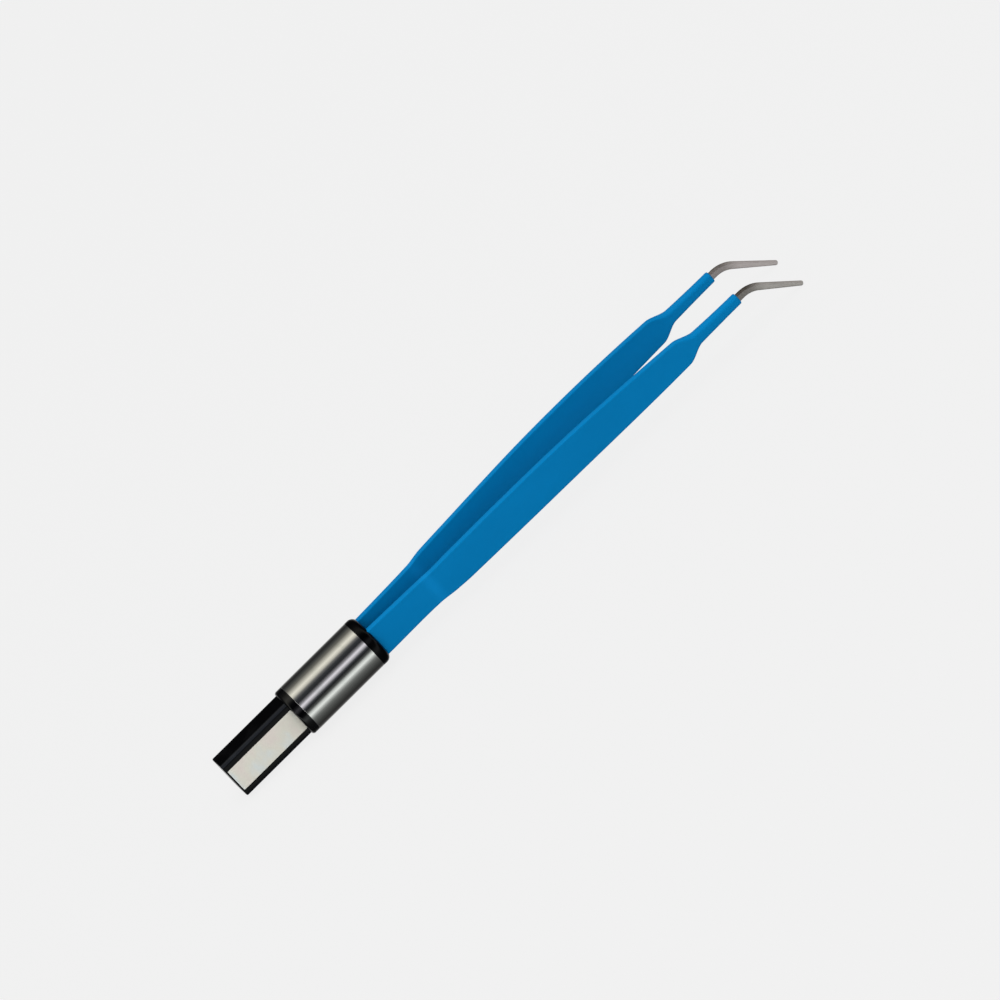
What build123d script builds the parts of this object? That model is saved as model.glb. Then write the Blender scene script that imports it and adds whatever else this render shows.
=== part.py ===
"""Bipolar forceps: a flat two-pole plug, a round sleeve, two coated spring tines and angled bare tips.

Millimetres. The origin is on the axis of the sleeve, midway along it. +X runs to the tips, the tines
open along Y, and +Z is up, with the tips bent down, as the instrument lies on its side on a table.
"""
import math
import os

from build123d import *

os.makedirs("parts", exist_ok=True)

# Sleeve and what fills it
SLEEVE_LENGTH = 19.74
SLEEVE_DIAMETER = 12.5
SLEEVE_WALL = 0.5
SLEEVE_EDGE_BREAK = 0.12
FIT_GAP = 0.02
LINER_WALL = 0.5

# Front bushing: the black ring that the tines come out of, and its spigot inside the sleeve
FRONT_RING_LENGTH = 2.43
FRONT_RING_ROUND = 1.6
FRONT_SPIGOT_LENGTH = 5.4
TINE_GAP = 0.15
TANG_GAP = 0.45
SEAL_SECTION = 0.6
SEAL_GROOVE_WIDTH = 0.8
SEAL_FROM_RING = 1.9

# Rear collar: the black ring between the sleeve and the plug, and its spigot
COLLAR_LENGTH = 2.0
COLLAR_INSET = 0.04
COLLAR_ROUND = 0.7
COLLAR_SPIGOT_LENGTH = 2.9

# Plug: a flat moulded block with a contact bar let into each broad side
PLUG_LENGTH = 19.6
PLUG_HEIGHT = 10.1
PLUG_THICKNESS = 6.06
PLUG_CORNER_ROUND = 1.0
PLUG_END_ROUND = 0.35
TONGUE_LENGTH = 8.0
TONGUE_HEIGHT = 8.0
TONGUE_THICKNESS = 5.3
CONTACT_THICKNESS = 0.8
CONTACT_HEIGHT = 6.2
CONTACT_END_MARGIN = 0.4
CONTACT_CORNER_ROUND = 0.25

# Lead strips from the contact bars to the tine roots, the spacer between them and its rivets
STRIP_THICKNESS = 0.5
STRIP_HEIGHT = 4.4
STRIP_UNDER_CONTACT = 8.0
RIVET_DIAMETER = 1.4
RIVET_HEAD_DIAMETER = 2.4
RIVET_HEAD_HEIGHT = 0.4
RIVET_FROM_ENDS = 2.2

# Tine stations, as distances along X from the front face of the bushing
WAIST_DISTANCE = 16.0
CRANK_DISTANCE = 20.4
FLARE_DISTANCE = 24.85
WIDEST_DISTANCE = 53.7
SHOULDER_DISTANCE = 90.85
SHOULDER_LENGTH = 5.25
NECK_LENGTH = 12.2

# Tine centre line, as distances from the axis along Y
ROOT_OFFSET = 3.1
WAIST_OFFSET = 3.98
CRANK_OFFSET = 4.66
FLARE_OFFSET = 4.8
WIDEST_OFFSET = 6.12
SHOULDER_OFFSET = 7.33
NECK_OFFSET = 7.46
TIP_OFFSET = 7.05

# Upper and lower edges of the coated tine, as heights above and below the axis
ROOT_TOP = 3.97
WAIST_TOP = 4.0
CRANK_TOP = 4.27
FLARE_TOP = 4.45
WIDEST_TOP = 5.05
SHOULDER_TOP = 3.57
NECK_TOP = 1.9
NECK_END_TOP = 1.58
ROOT_BOTTOM = 3.98
WAIST_BOTTOM = 3.49
CRANK_BOTTOM = 3.66
FLARE_BOTTOM = 3.87
WIDEST_BOTTOM = 3.6
SHOULDER_BOTTOM = 3.2
NECK_BOTTOM = 1.32
NECK_END_BOTTOM = 1.16

# Thickness of the coated tine and of the coat on it
BLADE_THICKNESS = 1.5
NECK_THICKNESS = 2.2
NECK_END_THICKNESS = 2.1
BLADE_COAT = 0.25
NECK_COAT = 0.45
BLADE_EDGE_ROUND = 0.3
NECK_EDGE_ROUND = 0.85
COAT_END_ROUND = 0.4

# Tang: the uncoated root of the steel tine inside the bushing
COAT_INSIDE_RING = 1.9
TANG_LENGTH = 4.3
TANG_HEIGHT = 5.2

# Bare tip: straight on from the coat, then bent down
BARE_BEFORE_BEND = 3.3
BEND_ANGLE = 44.0
BEND_RADIUS = 6.0
BEND_HEIGHT = 1.65
TIP_LENGTH = 13.15
TIP_HEIGHT = 1.08
TIP_THICKNESS = 0.9
TIP_EDGE_ROUND = 0.4
TIP_END_ROUND = 0.38

# Steps between the cross-sections that shape each stretch of a tine, from one station to the next
BLADE_SECTIONS = 5
SHOULDER_SECTIONS = 6
NECK_SECTIONS = 2
BEND_SECTIONS = 4
DOME_SECTIONS = 4

# Limits on the rounding of a section, and how far round its quarter circle a domed end goes
MIN_EDGE_ROUND = 0.1
ROUND_SHARE = 0.46
DOME_REACH = 72.0

# Places along X that follow from the sizes above
sleeve_front = SLEEVE_LENGTH / 2
sleeve_rear = -SLEEVE_LENGTH / 2
ring_front = sleeve_front + FRONT_RING_LENGTH
spigot_rear = sleeve_front - FRONT_SPIGOT_LENGTH
collar_rear = sleeve_rear - COLLAR_LENGTH
collar_front = sleeve_rear + COLLAR_SPIGOT_LENGTH
plug_rear = collar_rear - PLUG_LENGTH
tongue_front = collar_rear + TONGUE_LENGTH
strip_rear = collar_rear - STRIP_UNDER_CONTACT
liner_rear = collar_front + FIT_GAP
liner_front = spigot_rear - FIT_GAP
waist_x = ring_front + WAIST_DISTANCE
crank_x = ring_front + CRANK_DISTANCE
flare_x = ring_front + FLARE_DISTANCE
widest_x = ring_front + WIDEST_DISTANCE
shoulder_x = ring_front + SHOULDER_DISTANCE
neck_x = shoulder_x + SHOULDER_LENGTH
coat_end_x = neck_x + NECK_LENGTH
coat_root_x = ring_front - COAT_INSIDE_RING
bend_x = coat_end_x + BARE_BEFORE_BEND

# Radii and distances across that follow from the sizes above
sleeve_radius = SLEEVE_DIAMETER / 2
bore_radius = sleeve_radius - SLEEVE_WALL
spigot_radius = bore_radius - FIT_GAP
liner_inside = spigot_radius - LINER_WALL
groove_radius = bore_radius - SEAL_SECTION - FIT_GAP
strip_outside = PLUG_THICKNESS / 2 - CONTACT_THICKNESS
strip_inside = strip_outside - STRIP_THICKNESS
bare_middle = (NECK_END_TOP - NECK_END_BOTTOM) / 2
bare_height = NECK_END_TOP + NECK_END_BOTTOM - 2 * NECK_COAT
bare_thickness = NECK_END_THICKNESS - 2 * NECK_COAT
bend_reach = BEND_RADIUS * math.tan(math.radians(BEND_ANGLE / 2))
bend_arc = BEND_RADIUS * math.radians(BEND_ANGLE)

# Shapes along the tine: a value at each station
blade_stations = [ring_front, waist_x, crank_x, flare_x, widest_x, shoulder_x]
offset_line = [
    (ring_front, ROOT_OFFSET),
    (waist_x, WAIST_OFFSET),
    (crank_x, CRANK_OFFSET),
    (flare_x, FLARE_OFFSET),
    (widest_x, WIDEST_OFFSET),
    (shoulder_x, SHOULDER_OFFSET),
    (coat_end_x, NECK_OFFSET),
    (bend_x + TIP_LENGTH * math.cos(math.radians(BEND_ANGLE)), TIP_OFFSET),
]
top_line = [
    (ring_front, ROOT_TOP),
    (waist_x, WAIST_TOP),
    (crank_x, CRANK_TOP),
    (flare_x, FLARE_TOP),
    (widest_x, WIDEST_TOP),
    (shoulder_x, SHOULDER_TOP),
    (neck_x, NECK_TOP),
    (coat_end_x, NECK_END_TOP),
]
bottom_line = [
    (ring_front, -ROOT_BOTTOM),
    (waist_x, -WAIST_BOTTOM),
    (crank_x, -CRANK_BOTTOM),
    (flare_x, -FLARE_BOTTOM),
    (widest_x, -WIDEST_BOTTOM),
    (shoulder_x, -SHOULDER_BOTTOM),
    (neck_x, -NECK_BOTTOM),
    (coat_end_x, -NECK_END_BOTTOM),
]
thickness_line = [
    (ring_front, BLADE_THICKNESS),
    (shoulder_x, BLADE_THICKNESS),
    (neck_x, NECK_THICKNESS),
    (coat_end_x, NECK_END_THICKNESS),
]
coat_line = [(ring_front, BLADE_COAT), (shoulder_x, BLADE_COAT), (neck_x, NECK_COAT)]
round_line = [(ring_front, BLADE_EDGE_ROUND), (shoulder_x, BLADE_EDGE_ROUND), (neck_x, NECK_EDGE_ROUND)]


def smooth(x, stations):
    """Height at x of a smooth curve through the stations, with no overshoot and level ends."""
    if x <= stations[0][0]:
        return stations[0][1]
    if x >= stations[-1][0]:
        return stations[-1][1]
    rises = [(b[1] - a[1]) / (b[0] - a[0]) for a, b in zip(stations, stations[1:])]
    slopes = [rises[0]]
    for before, after in zip(rises, rises[1:]):
        slopes.append(2 * before * after / (before + after) if before * after > 0 else 0.0)
    slopes.append(0.0)
    for i, (a, b) in enumerate(zip(stations, stations[1:])):
        if x <= b[0]:
            run = b[0] - a[0]
            t = (x - a[0]) / run
            return (
                a[1] * (1 + 2 * t) * (1 - t) ** 2
                + b[1] * t * t * (3 - 2 * t)
                + slopes[i] * run * t * (1 - t) ** 2
                - slopes[i + 1] * run * t * t * (1 - t)
            )


def places(start, end, count):
    """Evenly spaced places from start to end, in count steps."""
    return [start + (end - start) * i / count for i in range(count + 1)]


def blade_section(x, inset):
    """Rounded section of the right tine across X, inset from the surface of the coat."""
    top = smooth(x, top_line) - inset
    bottom = smooth(x, bottom_line) + inset
    thickness = smooth(x, thickness_line) - 2 * inset
    edge_round = min(max(MIN_EDGE_ROUND, smooth(x, round_line) - inset), ROUND_SHARE * thickness)
    middle = Vector(x, -smooth(x, offset_line), (top + bottom) / 2)
    with BuildSketch(Plane(origin=middle, x_dir=(0, 1, 0), z_dir=(1, 0, 0))) as section:
        RectangleRounded(thickness, top - bottom, edge_round)
    return section.sketch


def tip_section(distance, inset=0.0):
    """Rounded section of the bare tip, at a distance along it from the start of the bend."""
    turned = min(distance / bend_arc, 1.0)
    angle = math.radians(BEND_ANGLE) * turned
    beyond = max(0.0, distance - bend_arc)
    x = bend_x - bend_reach + BEND_RADIUS * math.sin(angle) + beyond * math.cos(angle)
    z = bare_middle - BEND_RADIUS * (1 - math.cos(angle)) - beyond * math.sin(angle)
    along = beyond / (TIP_LENGTH - bend_reach)
    height = bare_height + (BEND_HEIGHT - bare_height) * turned + (TIP_HEIGHT - BEND_HEIGHT) * along
    height -= 2 * inset
    thickness = bare_thickness + (TIP_THICKNESS - bare_thickness) * along - 2 * inset
    edge_round = min(TIP_EDGE_ROUND, ROUND_SHARE * thickness, ROUND_SHARE * height)
    place = Plane(
        origin=(x, -smooth(x, offset_line), z),
        x_dir=(0, 1, 0),
        z_dir=(math.cos(angle), 0, -math.sin(angle)),
    )
    with BuildSketch(place) as section:
        RectangleRounded(thickness, height, edge_round)
    return section.sketch


def domed(section_at, end, radius):
    """Sections from radius short of the end up to it, each drawn in along a quarter circle."""
    angles = [math.radians(DOME_REACH) * i / DOME_SECTIONS for i in range(DOME_SECTIONS + 1)]
    return [section_at(end - radius * (1 - math.sin(a)), radius * (1 - math.cos(a))) for a in angles]


def finish(piece, name):
    """Label a finished piece and write it under its own name."""
    piece.part.label = name
    export_step(piece.part, f"parts/{name}.step")


# Steel tines, one piece each from the tang to the tip
tip_run = bend_arc + TIP_LENGTH - bend_reach
with BuildPart() as right_tine:
    loft([blade_section(x, BLADE_COAT) for x in (coat_root_x, ring_front)])
    for start, end in zip(blade_stations, blade_stations[1:]):
        loft([blade_section(x, BLADE_COAT) for x in places(start, end, BLADE_SECTIONS)])
    loft([blade_section(x, smooth(x, coat_line)) for x in places(shoulder_x, neck_x, SHOULDER_SECTIONS)])
    loft([blade_section(x, NECK_COAT) for x in places(neck_x, coat_end_x, NECK_SECTIONS)])
    loft([blade_section(coat_end_x, NECK_COAT), tip_section(0)])
    loft([tip_section(distance) for distance in places(0, bend_arc, BEND_SECTIONS)])
    loft([tip_section(bend_arc), tip_section(tip_run - TIP_END_ROUND)])
    loft(domed(tip_section, tip_run, TIP_END_ROUND))
    with Locations((coat_root_x - TANG_LENGTH / 2, -ROOT_OFFSET, 0)):
        Box(TANG_LENGTH, BLADE_THICKNESS - 2 * BLADE_COAT, TANG_HEIGHT)
with BuildPart() as left_tine:
    mirror(right_tine.part, about=Plane.XZ)
finish(right_tine, "right_tine")
finish(left_tine, "left_tine")

# Coats on the tines, from inside the front ring to the end of the neck
with BuildPart() as right_coat:
    loft([blade_section(x, 0) for x in (coat_root_x, ring_front)])
    for start, end in zip(blade_stations, blade_stations[1:]):
        loft([blade_section(x, 0) for x in places(start, end, BLADE_SECTIONS)])
    loft([blade_section(x, 0) for x in places(shoulder_x, neck_x, SHOULDER_SECTIONS)])
    loft([blade_section(x, 0) for x in places(neck_x, coat_end_x - COAT_END_ROUND, NECK_SECTIONS)])
    loft(domed(blade_section, coat_end_x, COAT_END_ROUND))
    add(right_tine.part, mode=Mode.SUBTRACT)
with BuildPart() as left_coat:
    mirror(right_coat.part, about=Plane.XZ)
finish(right_coat, "right_coat")
finish(left_coat, "left_coat")

# Steel sleeve
with BuildPart() as steel_sleeve:
    with BuildSketch(Plane.YZ.offset(sleeve_rear)):
        Circle(sleeve_radius)
        Circle(bore_radius, mode=Mode.SUBTRACT)
    extrude(amount=SLEEVE_LENGTH)
    rims = steel_sleeve.edges().filter_by(GeomType.CIRCLE).sort_by(SortBy.RADIUS)[-2:]
    chamfer(rims, SLEEVE_EDGE_BREAK)
finish(steel_sleeve, "steel_sleeve")

# Front bushing: ring, spigot, one slot for each tine and a chamber behind them for the tangs
chamber_half_width = ROOT_OFFSET + BLADE_THICKNESS / 2 - BLADE_COAT + TANG_GAP
chamber_height = TANG_HEIGHT + 2 * TINE_GAP
front_groove_x = sleeve_front - SEAL_FROM_RING
with BuildPart() as front_bushing:
    with BuildSketch(Plane.YZ.offset(sleeve_front)):
        Circle(sleeve_radius)
    extrude(amount=FRONT_RING_LENGTH)
    fillet(front_bushing.edges().filter_by(GeomType.CIRCLE).sort_by(Axis.X)[-1], FRONT_RING_ROUND)
    with BuildSketch(Plane.YZ.offset(spigot_rear)):
        Circle(spigot_radius)
    extrude(amount=FRONT_SPIGOT_LENGTH)
    with BuildSketch(Plane.YZ.offset(front_groove_x - SEAL_GROOVE_WIDTH / 2)):
        Circle(spigot_radius)
        Circle(groove_radius, mode=Mode.SUBTRACT)
    extrude(amount=SEAL_GROOVE_WIDTH, mode=Mode.SUBTRACT)
    with BuildSketch(Plane.YZ.offset(spigot_rear)):
        Rectangle(2 * chamber_half_width, chamber_height)
    extrude(amount=sleeve_front - spigot_rear, mode=Mode.SUBTRACT)
    slot_height = ROOT_TOP + ROOT_BOTTOM + 2 * TINE_GAP
    slot_middle = (ROOT_TOP - ROOT_BOTTOM) / 2
    slot_thickness = BLADE_THICKNESS + 2 * TINE_GAP
    with BuildSketch(Plane.YZ.offset(sleeve_front)):
        with Locations((-ROOT_OFFSET, slot_middle), (ROOT_OFFSET, slot_middle)):
            RectangleRounded(slot_thickness, slot_height, BLADE_EDGE_ROUND + TINE_GAP)
    extrude(amount=FRONT_RING_LENGTH, mode=Mode.SUBTRACT)
finish(front_bushing, "front_bushing")

# Rear collar: ring, spigot, and a hole for the tongue of the plug
rear_groove_x = sleeve_rear + COLLAR_SPIGOT_LENGTH / 2
with BuildPart() as rear_collar:
    with BuildSketch(Plane.YZ.offset(collar_rear)):
        Circle(sleeve_radius - COLLAR_INSET)
    extrude(amount=COLLAR_LENGTH)
    fillet(rear_collar.edges().filter_by(GeomType.CIRCLE).sort_by(Axis.X)[0], COLLAR_ROUND)
    with BuildSketch(Plane.YZ.offset(sleeve_rear)):
        Circle(spigot_radius)
    extrude(amount=COLLAR_SPIGOT_LENGTH)
    with BuildSketch(Plane.YZ.offset(rear_groove_x - SEAL_GROOVE_WIDTH / 2)):
        Circle(spigot_radius)
        Circle(groove_radius, mode=Mode.SUBTRACT)
    extrude(amount=SEAL_GROOVE_WIDTH, mode=Mode.SUBTRACT)
    with BuildSketch(Plane.YZ.offset(collar_rear)):
        Rectangle(TONGUE_THICKNESS + 2 * FIT_GAP, TONGUE_HEIGHT + 2 * FIT_GAP)
    extrude(amount=COLLAR_LENGTH + COLLAR_SPIGOT_LENGTH, mode=Mode.SUBTRACT)
finish(rear_collar, "rear_collar")

# Sealing rings in the grooves of the bushing and the collar
seal_radius = bore_radius - SEAL_SECTION / 2 - FIT_GAP / 2
with BuildPart() as front_seal:
    with Locations(Plane(origin=(front_groove_x, 0, 0), z_dir=(1, 0, 0))):
        Torus(seal_radius, SEAL_SECTION / 2)
with BuildPart() as rear_seal:
    with Locations(Plane(origin=(rear_groove_x, 0, 0), z_dir=(1, 0, 0))):
        Torus(seal_radius, SEAL_SECTION / 2)
finish(front_seal, "front_seal")
finish(rear_seal, "rear_seal")

# Lead strips, drilled for the rivets
rivet_places = (tongue_front + RIVET_FROM_ENDS, spigot_rear - RIVET_FROM_ENDS)
strip_length = sleeve_front - strip_rear
strip_middle = (sleeve_front + strip_rear) / 2
with BuildPart() as right_strip:
    with Locations((strip_middle, -(strip_inside + strip_outside) / 2, 0)):
        Box(strip_length, STRIP_THICKNESS, STRIP_HEIGHT)
    with BuildSketch(Plane.XZ):
        with Locations(*[(x, 0) for x in rivet_places]):
            Circle(RIVET_DIAMETER / 2 + FIT_GAP)
    extrude(amount=PLUG_THICKNESS, mode=Mode.SUBTRACT)
with BuildPart() as left_strip:
    mirror(right_strip.part, about=Plane.XZ)
finish(right_strip, "right_strip")
finish(left_strip, "left_strip")

# Spacer that keeps the strips apart
spacer_length = sleeve_front - tongue_front
with BuildPart() as strip_spacer:
    with Locations((tongue_front + spacer_length / 2, 0, 0)):
        Box(spacer_length, 2 * strip_inside, STRIP_HEIGHT)
    with BuildSketch(Plane.XZ):
        with Locations(*[(x, 0) for x in rivet_places]):
            Circle(RIVET_DIAMETER / 2 + FIT_GAP)
    extrude(amount=PLUG_THICKNESS, both=True, mode=Mode.SUBTRACT)
finish(strip_spacer, "strip_spacer")

# Insulating rivets through the strips and the spacer
rivets = []
for number, rivet_x in enumerate(rivet_places, 1):
    with BuildPart() as rivet:
        with BuildSketch(Plane.XZ):
            with Locations((rivet_x, 0)):
                Circle(RIVET_DIAMETER / 2)
        extrude(amount=strip_outside, both=True)
        for side in (-1, 1):
            with BuildSketch(Plane.XZ.offset(side * strip_outside)):
                with Locations((rivet_x, 0)):
                    Circle(RIVET_HEAD_DIAMETER / 2)
            extrude(amount=side * RIVET_HEAD_HEIGHT)
    finish(rivet, f"strip_rivet_{number}")
    rivets.append(rivet.part)

# Plug: block, tongue, and pockets for the contact bars and the strips
contact_length = PLUG_LENGTH - CONTACT_END_MARGIN
contact_middle = collar_rear - contact_length / 2
with BuildPart() as plug_body:
    with BuildSketch(Plane.YZ.offset(plug_rear)):
        RectangleRounded(PLUG_THICKNESS, PLUG_HEIGHT, PLUG_CORNER_ROUND)
    extrude(amount=PLUG_LENGTH)
    fillet(plug_body.faces().sort_by(Axis.X)[0].edges(), PLUG_END_ROUND)
    with Locations((collar_rear + TONGUE_LENGTH / 2, 0, 0)):
        Box(TONGUE_LENGTH, TONGUE_THICKNESS, TONGUE_HEIGHT)
    for side in (-1, 1):
        with BuildSketch(Plane.XZ.offset(side * strip_outside)):
            with Locations((contact_middle, 0)):
                RectangleRounded(contact_length, CONTACT_HEIGHT, CONTACT_CORNER_ROUND)
        extrude(amount=side * CONTACT_THICKNESS, mode=Mode.SUBTRACT)
        with Locations((strip_middle, side * (strip_inside + strip_outside) / 2, 0)):
            Box(strip_length, STRIP_THICKNESS, STRIP_HEIGHT, mode=Mode.SUBTRACT)
finish(plug_body, "plug_body")

# Contact bars
with BuildPart() as right_contact:
    with BuildSketch(Plane.XZ.offset(strip_outside)):
        with Locations((contact_middle, 0)):
            RectangleRounded(contact_length, CONTACT_HEIGHT, CONTACT_CORNER_ROUND)
    extrude(amount=CONTACT_THICKNESS)
with BuildPart() as left_contact:
    mirror(right_contact.part, about=Plane.XZ)
finish(right_contact, "right_contact")
finish(left_contact, "left_contact")

# Insulating liner tube between the sleeve and the potting
liner_length = liner_front - liner_rear
with BuildPart() as liner_tube:
    with BuildSketch(Plane.YZ.offset(liner_rear)):
        Circle(spigot_radius)
        Circle(liner_inside, mode=Mode.SUBTRACT)
    extrude(amount=liner_length)
finish(liner_tube, "liner_tube")

# Potting cast round the tongue, the strips and the spacer
with BuildPart() as potting:
    with BuildSketch(Plane.YZ.offset(liner_rear)):
        Circle(liner_inside - FIT_GAP)
    extrude(amount=liner_length)
    with Locations(((collar_rear + tongue_front) / 2, 0, 0)):
        Box(TONGUE_LENGTH, TONGUE_THICKNESS, TONGUE_HEIGHT, mode=Mode.SUBTRACT)
    with Locations((strip_middle, 0, 0)):
        Box(strip_length, 2 * strip_outside, STRIP_HEIGHT, mode=Mode.SUBTRACT)
    for rivet_part in rivets:
        add(rivet_part, mode=Mode.SUBTRACT)
finish(potting, "potting")
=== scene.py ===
"""Looks of the bipolar forceps: finishes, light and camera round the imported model, in metres."""
import math

import bpy
from mathutils import Matrix, Vector


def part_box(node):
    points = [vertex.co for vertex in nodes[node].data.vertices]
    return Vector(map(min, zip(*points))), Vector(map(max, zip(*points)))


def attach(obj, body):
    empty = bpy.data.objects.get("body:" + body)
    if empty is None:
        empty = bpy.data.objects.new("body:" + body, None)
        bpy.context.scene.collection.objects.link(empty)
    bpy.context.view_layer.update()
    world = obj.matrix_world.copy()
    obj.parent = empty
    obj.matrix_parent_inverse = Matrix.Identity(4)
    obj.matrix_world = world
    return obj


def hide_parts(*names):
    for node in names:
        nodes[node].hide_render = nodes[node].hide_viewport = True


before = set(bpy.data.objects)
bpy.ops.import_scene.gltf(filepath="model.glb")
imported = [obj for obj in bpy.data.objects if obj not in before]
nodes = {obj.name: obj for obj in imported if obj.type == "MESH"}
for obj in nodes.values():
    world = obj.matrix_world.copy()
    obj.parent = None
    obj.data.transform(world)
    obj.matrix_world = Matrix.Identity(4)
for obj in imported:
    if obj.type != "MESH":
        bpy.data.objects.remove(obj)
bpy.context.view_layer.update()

scene = bpy.context.scene
MM = 0.001

# Marks on the pieces: places along the instrument, among them the crease with its painted highlight, and
# half sizes of the plug's long edges, along which a painted highlight runs
CREASE = 29.2 * MM
CREASE_REACH = 2.2 * MM
STAIN_START = 123.2 * MM
STAIN_END = 127.2 * MM
MIDDLE_REACH = 1.0 * MM
EDGE_HIGHLIGHT_ACROSS = (2.1 * MM, 2.75 * MM)
EDGE_HIGHLIGHT_UP = (4.1 * MM, 4.75 * MM)

# Relief of the finishes
PEEL_DEPTH = 0.006 * MM
LATHE_DEPTH = 0.0012 * MM
MOULD_DEPTH = 0.003 * MM
DRAWN_DEPTH = 0.0015 * MM
SATIN_DEPTH = 0.002 * MM
INNER_DEPTH = 0.005 * MM


def srgb(red, green, blue):
    """Linear colour of an sRGB colour given in steps of 0 to 255."""
    steps = [c / 255 for c in (red, green, blue)]
    return [c / 12.92 if c <= 0.04045 else ((c + 0.055) / 1.055) ** 2.4 for c in steps] + [1.0]


class Value:
    """A shader socket that takes part in arithmetic: an expression on values adds its Math nodes."""

    def __init__(self, finish, socket):
        self.finish = finish
        self.socket = socket

    def math(self, operation, *values):
        return self.finish.node("ShaderNodeMath", {"operation": operation}, *values)["Value"]

    def __add__(self, other):
        return self.math("ADD", self, other)

    def __sub__(self, other):
        return self.math("SUBTRACT", self, other)

    def __rsub__(self, other):
        return self.math("SUBTRACT", other, self)

    def __mul__(self, other):
        return self.math("MULTIPLY", self, other)

    def __truediv__(self, other):
        return self.math("DIVIDE", self, other)

    def __abs__(self):
        return self.math("ABSOLUTE", self)

    __radd__ = __add__
    __rmul__ = __mul__


class Finish:
    """Node tree of a material or the world, written as a few expressions."""

    def __init__(self, owner):
        owner.use_nodes = True
        self.owner = owner
        self.tree = owner.node_tree
        self.tree.nodes.clear()

    def node(self, kind, settings=None, *values, **named):
        """Adds a node: settings first, then the values or links of its sockets, in order or by name."""
        node = self.tree.nodes.new(kind)
        for key, setting in (settings or {}).items():
            if key == "stops":
                self.set_stops(node.color_ramp, setting)
            else:
                setattr(node, key, setting)
        sockets = dict(enumerate(values))
        sockets.update({key.replace("_", " "): value for key, value in named.items()})
        for key, value in sockets.items():
            if isinstance(value, Value):
                self.tree.links.new(value.socket, node.inputs[key])
            elif value is not None:
                node.inputs[key].default_value = value
        return {s.name: Value(self, s) for s in node.outputs if s.enabled}

    @staticmethod
    def set_stops(ramp, stops):
        while len(ramp.elements) > 1:
            ramp.elements.remove(ramp.elements[-1])
        ramp.elements[0].position, ramp.elements[0].color = stops[0]
        for position, colour in stops[1:]:
            ramp.elements.new(position).color = colour

    def place(self):
        """Point on the piece, in metres."""
        return self.node("ShaderNodeTexCoord")["Object"]

    def parts(self, vector):
        """X, Y and Z of a vector."""
        split = self.node("ShaderNodeSeparateXYZ", None, vector)
        return split["X"], split["Y"], split["Z"]

    def stretched(self, spot, x, y, z):
        """The point, with its coordinates scaled apart."""
        return self.node("ShaderNodeMapping", None, spot, Scale=(x, y, z))["Vector"]

    def noise(self, spot, scale, detail=3.0, roughness=0.55):
        settings = {"Scale": scale, "Detail": detail, "Roughness": roughness}
        return self.node("ShaderNodeTexNoise", None, spot, **settings)["Fac"]

    def ramp(self, value, stops):
        return self.node("ShaderNodeValToRGB", {"stops": stops}, value)["Color"]

    def between(self, factor, first, second):
        """Colour between two colours."""
        node = self.tree.nodes.new("ShaderNodeMix")
        node.data_type = "RGBA"
        for key, value in (("Factor", factor), ("A", first), ("B", second)):
            socket = next(s for s in node.inputs if s.enabled and s.name == key)
            if isinstance(value, Value):
                self.tree.links.new(value.socket, socket)
            else:
                socket.default_value = value
        return Value(self, next(s for s in node.outputs if s.enabled))

    def rise(self, value, low, high):
        """0 below low, 1 above high and smooth between them."""
        settings = {"interpolation_type": "SMOOTHSTEP"}
        return self.node("ShaderNodeMapRange", settings, value, low, high)["Result"]

    def bump(self, height, distance, strength=1.0):
        settings = {"Strength": strength, "Distance": distance, "Height": height}
        return self.node("ShaderNodeBump", None, **settings)["Normal"]

    def surface(self, **named):
        shader = self.node("ShaderNodeBsdfPrincipled", None, **named)["BSDF"]
        self.node("ShaderNodeOutputMaterial", None, shader)
        return self.owner


def material(name):
    return Finish(bpy.data.materials.new(name))


def blue_coat():
    """Dipped nylon coat: smooth, with a faint orange peel, slow changes of tone and a painted highlight
    across the crease where the blade bends.
    """
    f = material("blue_coat")
    spot = f.place()
    x = f.parts(spot)[0]
    slow = f.noise(f.stretched(spot, 0.35, 1, 1), 130, 2.0)
    fine = f.noise(spot, 1900, 2.0)
    smooth_shade = f.between(slow, srgb(0, 109, 165), srgb(0, 117, 176))
    # Painted highlight: a lighter blue band across the crease where the blade bends
    crease_highlight = f.rise(x, CREASE - CREASE_REACH, CREASE) * f.rise(x, CREASE + CREASE_REACH, CREASE)
    shade = f.between(crease_highlight * (0.1 + slow * 0.4), smooth_shade, srgb(10, 132, 198))
    peel = f.noise(spot, 1300, 1.0) + fine * 0.35
    return f.surface(
        Base_Color=shade,
        Roughness=0.34 + fine * 0.12,
        Specular_IOR_Level=0.035,
        Normal=f.bump(peel, PEEL_DEPTH, 0.5),
    )


def polished_sleeve():
    """Turned and polished steel with faint rings of the lathe and a few dull patches."""
    f = material("polished_sleeve")
    spot = f.place()
    rings = f.noise(f.stretched(spot, 1, 0.02, 0.02), 9000, 2.0)
    patches = f.noise(spot, 320, 3.0)
    dull = f.rise(patches, 0.52, 0.72)
    tint = f.between(dull, srgb(226, 225, 222), srgb(218, 219, 215))
    return f.surface(
        Base_Color=tint,
        Metallic=1.0,
        Roughness=0.085 + rings * 0.04 + dull * 0.015,
        Normal=f.bump(rings, LATHE_DEPTH, 0.4),
    )


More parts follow.
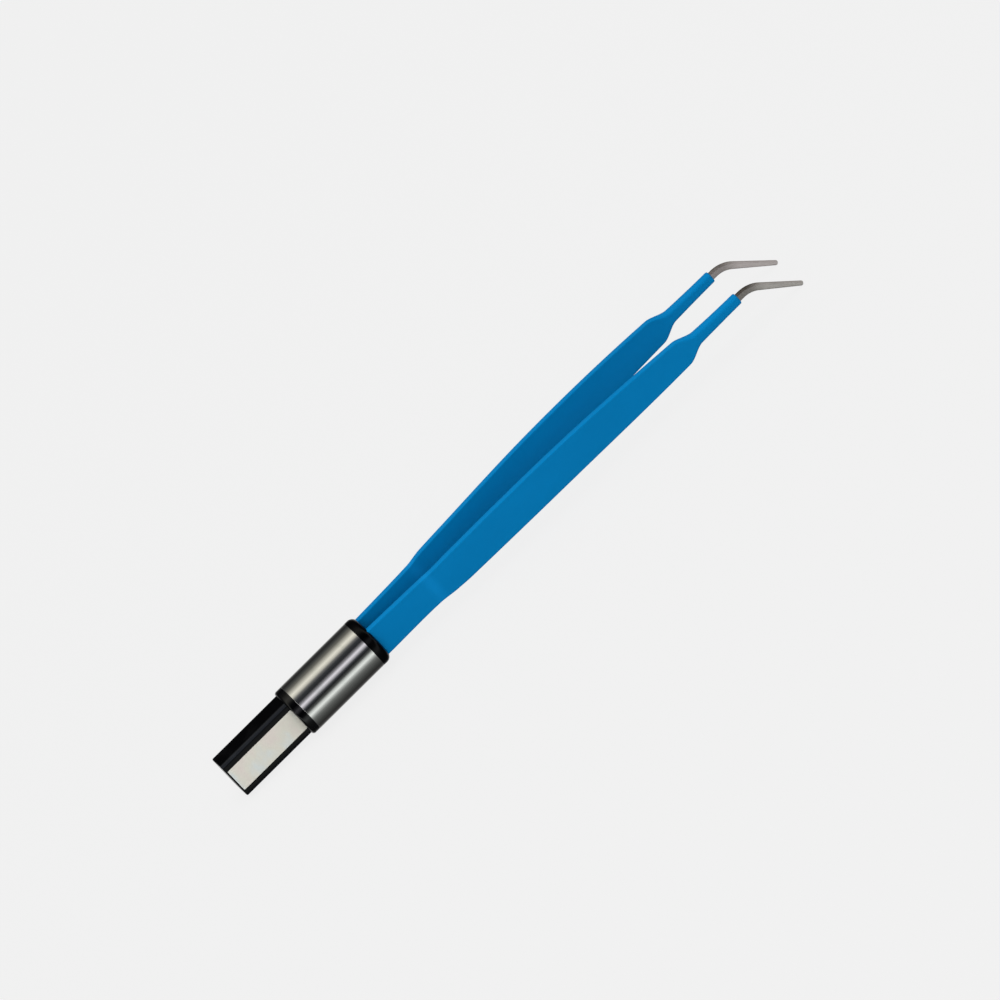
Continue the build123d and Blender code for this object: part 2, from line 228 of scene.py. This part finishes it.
def black_moulding(name, shine, roughness, painted_edge_highlight=False):
    """Black moulded plastic with a very faint texture, rubbed spots and, if asked, a painted highlight
    along its long edges.
    """
    f = material(name)
    spot = f.place()
    grain = f.noise(spot, 2600, 2.0)
    rubbed = f.rise(f.noise(spot, 260, 3.0), 0.5, 0.8)
    black = f.between(rubbed, srgb(1, 1, 2), srgb(6, 6, 7))
    if painted_edge_highlight:
        y, z = f.parts(spot)[1:]
        # Painted highlight: the plug's long rounded edges are painted a lighter grey
        edge_highlight = f.rise(abs(y), *EDGE_HIGHLIGHT_ACROSS) * f.rise(abs(z), *EDGE_HIGHLIGHT_UP)
        black = f.between(edge_highlight * (rubbed * 0.3 + 0.7), black, srgb(34, 37, 42))
    return f.surface(
        Base_Color=black,
        Roughness=roughness + rubbed * 0.08,
        Specular_IOR_Level=shine,
        Normal=f.bump(grain, MOULD_DEPTH, 0.35),
    )


def contact_plate():
    """Satin nickel plate: drawn along its length, with faint warm and cool tints."""
    f = material("contact_plate")
    spot = f.place()
    drawn = f.noise(f.stretched(spot, 0.03, 1, 1), 5200, 3.0)
    tints = f.noise(f.stretched(spot, 1, 1, 0.6), 240, 2.0)
    tinted = f.ramp(
        tints,
        [
            (0.30, srgb(216, 222, 220)),
            (0.48, srgb(222, 220, 208)),
            (0.66, srgb(224, 216, 208)),
        ],
    )
    return f.surface(
        Base_Color=tinted,
        Metallic=0.2,
        Roughness=0.42 + drawn * 0.12,
        Normal=f.bump(drawn, DRAWN_DEPTH, 0.5),
    )


def tine_steel():
    """Bare steel of the tips: satin, browned by heat where it leaves the coat, most of all on the right;
    the left tip is painted lighter and faces that point up carry painted shade.
    """
    f = material("tine_steel")
    spot = f.place()
    x, y = f.parts(spot)[:2]
    grain = f.noise(spot, 2400, 3.0)
    facing_up = f.parts(f.node("ShaderNodeTexCoord")["Normal"])[2]
    upper = f.rise(facing_up, -0.5, 0.6)
    near_coat = f.rise(x, STAIN_END, STAIN_START)
    left = f.rise(y, -MIDDLE_REACH, MIDDLE_REACH)
    browned = near_coat * (0.25 + upper * 0.6 + grain * 0.3) * (0.88 - left * 0.2)
    # Painted light: the left tip's steel is given a lighter colour than the right tip's
    right_tip_steel = f.between(grain, srgb(178, 174, 169), srgb(204, 200, 195))
    bright = f.between(grain, srgb(196, 186, 184), srgb(222, 214, 212))
    steel_painted_light_left = f.between(left, right_tip_steel, bright)
    # Painted shade: faces that point up are painted towards a darker warm grey
    steel_painted_top_shade = f.between(upper * 0.35, steel_painted_light_left, srgb(140, 130, 122))
    return f.surface(
        Base_Color=f.between(browned, steel_painted_top_shade, srgb(58, 50, 40)),
        Metallic=0.6,
        Roughness=0.4 + grain * 0.1,
        Normal=f.bump(grain, SATIN_DEPTH, 0.6),
    )


def inner_material(name, first, second, scale, roughness, metallic=0.0):
    """Plain finish for a piece inside the sleeve: two shades and a little relief."""
    f = material(name)
    cloud = f.noise(f.place(), scale, 3.0)
    return f.surface(
        Base_Color=f.between(cloud, first, second),
        Metallic=metallic,
        Roughness=roughness + cloud * 0.1,
        Normal=f.bump(cloud, INNER_DEPTH, 0.5),
    )


FINISHES = {
    "blue_coat": blue_coat(),
    "polished_sleeve": polished_sleeve(),
    "plug_black": black_moulding("plug_black", 0.16, 0.18, painted_edge_highlight=True),
    "ring_black": black_moulding("ring_black", 0.13, 0.16),
    "collar_black": black_moulding("collar_black", 0.4, 0.05),
    "contact_plate": contact_plate(),
    "tine_steel": tine_steel(),
    "strip_brass": inner_material(
        "strip_brass", srgb(196, 166, 98), srgb(214, 186, 118), 900, 0.3, 1.0
    ),
    "cream_insulator": inner_material(
        "cream_insulator", srgb(222, 214, 194), srgb(232, 226, 210), 700, 0.5
    ),
    "cast_resin": inner_material("cast_resin", srgb(38, 38, 42), srgb(52, 52, 56), 500, 0.35),
    "seal_rubber": inner_material("seal_rubber", srgb(120, 38, 28), srgb(138, 48, 36), 1200, 0.6),
}
NODE_FINISH = {
    "right_tine": "tine_steel",
    "left_tine": "tine_steel",
    "right_coat": "blue_coat",
    "left_coat": "blue_coat",
    "steel_sleeve": "polished_sleeve",
    "front_bushing": "ring_black",
    "rear_collar": "collar_black",
    "plug_body": "plug_black",
    "right_contact": "contact_plate",
    "left_contact": "contact_plate",
    "right_strip": "strip_brass",
    "left_strip": "strip_brass",
    "strip_spacer": "cream_insulator",
    "strip_rivet_1": "cream_insulator",
    "strip_rivet_2": "cream_insulator",
    "liner_tube": "cream_insulator",
    "potting": "cast_resin",
    "front_seal": "seal_rubber",
    "rear_seal": "seal_rubber",
}
for name, finish_name in NODE_FINISH.items():
    nodes[name].data.materials.clear()
    nodes[name].data.materials.append(FINISHES[finish_name])

# Turned tubes: the sleeve and the liner inside it, each one profile swept round the axis
TUBE_SIDES = 128
RIM_STEPS = 3
RIM_ANGLE = math.radians(6)
SLEEVE_WALL = 0.5 * MM
SLEEVE_RIM = 0.12 * MM
LINER_WALL = 0.5 * MM
LINER_RIM = 0.05 * MM
TUBES = {
    "steel_sleeve": ("turned_sleeve", "sleeve_steel", SLEEVE_WALL, SLEEVE_RIM),
    "liner_tube": ("turned_liner", "insulator", LINER_WALL, LINER_RIM),
}


def tube_tree():
    """Geometry Nodes tree of a tube about the X axis, with rounded rims."""
    tree = bpy.data.node_groups.new("turned_tube", "GeometryNodeTree")
    sockets = tree.interface
    for size in ("Length", "Outer Radius", "Wall", "Rim Round"):
        sockets.new_socket(size, in_out="INPUT", socket_type="NodeSocketFloat")
    sockets.new_socket("Sides", in_out="INPUT", socket_type="NodeSocketInt")
    sockets.new_socket("Finish", in_out="INPUT", socket_type="NodeSocketMaterial")
    sockets.new_socket("Tube", in_out="OUTPUT", socket_type="NodeSocketGeometry")

    def node(kind, *values, **settings):
        """Adds a node with its settings, and gives its inputs values or links in order."""
        made = tree.nodes.new(kind)
        for key, setting in settings.items():
            setattr(made, key, setting)
        open_inputs = [s for s in made.inputs if s.enabled]
        for socket, value in zip(open_inputs, values):
            if isinstance(value, bpy.types.NodeSocket):
                tree.links.new(value, socket)
            elif value is not None:
                socket.default_value = value
        return made.outputs[0]

    given = tree.nodes.new("NodeGroupInput").outputs
    half_wall = node("ShaderNodeMath", given["Wall"], 0.5, operation="MULTIPLY")
    middle = node("ShaderNodeMath", given["Outer Radius"], half_wall, operation="SUBTRACT")
    circle = node("GeometryNodeCurvePrimitiveCircle", given["Sides"], middle)
    path = node("GeometryNodeTransform", circle, None, (0, math.pi / 2, 0))
    outline = node("GeometryNodeCurvePrimitiveQuadrilateral", given["Length"], given["Wall"])
    profile = node("GeometryNodeFilletCurve", outline, RIM_STEPS, given["Rim Round"], True, mode="POLY")
    swept = node("GeometryNodeCurveToMesh", path, profile)
    soft = node("GeometryNodeSetShadeSmooth", swept)
    edge_angle = node("GeometryNodeInputMeshEdgeAngle")
    at_rim = node("ShaderNodeMath", edge_angle, RIM_ANGLE, operation="GREATER_THAN")
    crisp = node("GeometryNodeSetShadeSmooth", soft, at_rim, False, domain="EDGE")
    real = node("GeometryNodeRealizeInstances", crisp)
    painted = node("GeometryNodeSetMaterial", real, None, given["Finish"])
    tree.links.new(painted, tree.nodes.new("NodeGroupOutput").inputs["Tube"])
    return tree


def turned_tube(tree, cad_name, piece_name, wall, rim):
    """Tube the size of a CAD node, which it stands for."""
    low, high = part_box(cad_name)
    values = {
        "Length": high.x - low.x,
        "Outer Radius": (high.z - low.z) / 2,
        "Wall": wall,
        "Rim Round": rim,
        "Sides": TUBE_SIDES,
        "Finish": FINISHES[NODE_FINISH[cad_name]],
    }
    maker = bpy.data.objects.new("maker", bpy.data.meshes.new("maker"))
    scene.collection.objects.link(maker)
    modifier = maker.modifiers.new("tube", "NODES")
    modifier.node_group = tree
    for item in tree.interface.items_tree:
        if item.in_out == "INPUT":
            modifier[item.identifier] = values[item.name]
    bpy.context.view_layer.update()
    finished = maker.evaluated_get(bpy.context.evaluated_depsgraph_get())
    mesh = bpy.data.meshes.new_from_object(finished)
    bpy.data.objects.remove(maker)
    mesh.transform(Matrix.Translation(((low.x + high.x) / 2, 0, 0)))
    piece = bpy.data.objects.new(piece_name, mesh)
    scene.collection.objects.link(piece)
    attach(piece, "handle")
    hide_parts(cad_name)


tubes = tube_tree()
for cad_name, (piece_name, slot_name, wall, rim) in TUBES.items():
    turned_tube(tubes, cad_name, piece_name, wall, rim)

# Camera: the photograph looks along the width of the tines from above, turned so that they climb right
FRAME_WIDTH = 218.1 * MM
AXIS_CLIMB = math.radians(44.7)
VIEW_RISE = math.radians(30.0)
VIEW_TURN = math.radians(2.75)
CAMERA_DISTANCE = 4.0
SENSOR_WIDTH = 36.0
CLIP_START = 0.05
CLIP_END = 20.0
ALONG_TO_MIDDLE = 53.03 * MM
ACROSS_TO_MIDDLE = -1.56 * MM

towards_camera = Vector(
    (
        -math.sin(VIEW_TURN),
        -math.cos(VIEW_TURN) * math.cos(VIEW_RISE),
        math.cos(VIEW_TURN) * math.sin(VIEW_RISE),
    )
)
axis = Vector((1, 0, 0))
along = (axis - axis.dot(towards_camera) * towards_camera).normalized()
across = along.cross(towards_camera)
right = math.cos(AXIS_CLIMB) * along + math.sin(AXIS_CLIMB) * across
up = math.sin(AXIS_CLIMB) * along - math.cos(AXIS_CLIMB) * across
target = axis * ALONG_TO_MIDDLE + across * ACROSS_TO_MIDDLE
lens = bpy.data.cameras.new("camera")
lens.sensor_width = SENSOR_WIDTH
lens.lens = SENSOR_WIDTH * CAMERA_DISTANCE / FRAME_WIDTH
lens.clip_start = CLIP_START
lens.clip_end = CLIP_END
camera = bpy.data.objects.new("camera", lens)
turn = Matrix((right, up, towards_camera)).transposed().to_4x4()
camera.matrix_world = Matrix.Translation(target + towards_camera * CAMERA_DISTANCE) @ turn
scene.collection.objects.link(camera)
scene.camera = camera

# Floor: a pale sheet under the tip ends and the rear ring
PALE = srgb(242, 242, 242)
PAPER = srgb(203, 203, 203)
FLOOR_SIZE = 6.0
FLOOR_CLEARANCE = 0.05 * MM
FLOOR_GLOW = 0.93
tip_low, tip_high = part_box("right_tine")
ring_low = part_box("rear_collar")[0]
rest_slope = math.atan2(ring_low.z - tip_low.z, tip_high.x - ring_low.x)
floor_mesh = bpy.data.meshes.new("floor")
half = FLOOR_SIZE / 2
corners = [(-half, -half, 0), (half, -half, 0), (half, half, 0), (-half, half, 0)]
floor_mesh.from_pydata(corners, [], [(0, 1, 2, 3)])
floor = bpy.data.objects.new("floor", floor_mesh)
floor.location = (ring_low.x, 0, ring_low.z - FLOOR_CLEARANCE)
floor.rotation_euler = (0, rest_slope, 0)
scene.collection.objects.link(floor)


def background_seen(finish):
    """1 for rays that show the pale background: from the camera, a mirror or glass."""
    path = finish.node("ShaderNodeLightPath")
    return path["Is Camera Ray"] + path["Is Glossy Ray"] + path["Is Transmission Ray"]


def pale_floor():
    """Pale sheet that keeps a soft shadow of what lies on it."""
    f = material("pale_floor")
    glow = f.node("ShaderNodeEmission", None, PALE, 1.0)["Emission"]
    paper = f.node("ShaderNodeBsdfDiffuse", None, PAPER)["BSDF"]
    seen = background_seen(f) * FLOOR_GLOW
    mixed = f.node("ShaderNodeMixShader", None, seen, paper, glow)["Shader"]
    f.node("ShaderNodeOutputMaterial", None, mixed)
    return f.owner


floor_mesh.materials.append(pale_floor())
floor.visible_glossy = False

# Reflector tent: a tube of cards round the instrument, which shows only in reflections.
# Each stop is an angle in degrees round the instrument's axis, from the camera's side downwards,
# a brightness and a tint.
TENT_RADIUS = 0.6
TENT_LENGTH = 4.0
TENT_SIDES = 96
TENT_STOPS = [
    (-180, 0.60, "grey"),
    (-163, 0.45, "grey"),
    (-150, 0.10, "grey"),
    (-140, 0.05, "grey"),
    (-126, 0.022, "grey"),
    (-108, 0.065, "green"),
    (-90, 0.17, "cream"),
    (-74, 0.56, "cream"),
    (-62, 0.98, "cream"),
    (-52, 0.72, "cream"),
    (-42, 0.18, "grey"),
    (-32, 0.045, "blue"),
    (-18, 0.025, "blue"),
    (-8, 0.30, "violet"),
    (0, 0.97, "violet"),
    (7, 0.56, "violet"),
    (15, 0.07, "blue"),
    (24, 0.012, "blue"),
    (36, 0.10, "green"),
    (45, 0.72, "green"),
    (54, 1.06, "green"),
    (63, 0.54, "green"),
    (74, 0.21, "green"),
    (86, 0.12, "green"),
    (104, 0.065, "green"),
    (126, 0.03, "grey"),
    (140, 0.055, "grey"),
    (150, 0.10, "grey"),
    (163, 0.45, "grey"),
    (180, 0.60, "grey"),
]
CARD_TINTS = {
    "grey": (1.0, 1.0, 1.0),
    "cream": (1.0, 0.98, 0.87),
    "green": (0.95, 1.0, 0.98),
    "violet": (0.98, 0.96, 1.05),
    "blue": (0.92, 0.98, 1.12),
}


def tent_cards():
    """Glow of the cards by their angle round the axis."""
    f = material("tent_cards")
    y, z = f.parts(f.place())[1:]
    facing = z * math.sin(VIEW_RISE) - y * math.cos(VIEW_RISE)
    below = y * -math.sin(VIEW_RISE) - z * math.cos(VIEW_RISE)
    angle = f.node("ShaderNodeMath", {"operation": "ARCTAN2"}, below, facing)["Value"]
    turns = angle / (2 * math.pi) + 0.5
    stops = []
    for degrees, bright, tint in TENT_STOPS:
        colour = [bright * c for c in CARD_TINTS[tint]] + [1.0]
        stops.append((degrees / 360 + 0.5, colour))
    glow = f.node("ShaderNodeEmission", None, f.ramp(turns, stops), 1.0)["Emission"]
    f.node("ShaderNodeOutputMaterial", None, glow)
    return f.owner


def tube(name, radius, length, sides):
    """Open tube about the X axis."""
    turns = [2 * math.pi * i / sides for i in range(sides)]
    rim = [(radius * math.cos(a), radius * math.sin(a)) for a in turns]
    points = [(end * length / 2, y, z) for end in (-1, 1) for y, z in rim]
    faces = [(i, (i + 1) % sides, sides + (i + 1) % sides, sides + i) for i in range(sides)]
    mesh = bpy.data.meshes.new(name)
    mesh.from_pydata(points, [], faces)
    made = bpy.data.objects.new(name, mesh)
    scene.collection.objects.link(made)
    return made


tent = tube("tent", TENT_RADIUS, TENT_LENGTH, TENT_SIDES)
tent.data.materials.append(tent_cards())
tent.visible_camera = False
tent.visible_diffuse = False
tent.visible_shadow = False
tent.visible_transmission = False

# Light: an even sky, a large lamp above and one from the camera's side, in metres and watts
SKY_STRENGTH = 0.62
TOP_LAMP = (0.05, -0.15, 1.2)
TOP_POWER = 8.5
FRONT_LAMP = (-0.2, -1.2, 0.75)
FRONT_POWER = 6.0
LAMP_SIZE = 0.9

scene.world = bpy.data.worlds.new("studio")
sky = Finish(scene.world)
plain_sky = sky.node("ShaderNodeBackground", None, (1, 1, 1, 1), SKY_STRENGTH)["Background"]
seen_sky = sky.node("ShaderNodeBackground", None, PALE, 1.0)["Background"]
sky_mixed = sky.node("ShaderNodeMixShader", None, background_seen(sky), plain_sky, seen_sky)["Shader"]
sky.node("ShaderNodeOutputWorld", None, sky_mixed)


def lamp(name, position, power):
    """Large square lamp that points at the middle of the instrument and isn't mirrored in it."""
    light = bpy.data.lights.new(name, "AREA")
    light.energy = power
    light.size = LAMP_SIZE
    made = bpy.data.objects.new(name, light)
    made.location = position
    made.rotation_euler = (target - Vector(position)).to_track_quat("-Z", "Y").to_euler()
    made.visible_glossy = False
    scene.collection.objects.link(made)


lamp("top_lamp", TOP_LAMP, TOP_POWER)
lamp("front_lamp", FRONT_LAMP, FRONT_POWER)

scene.view_settings.view_transform = "Standard"
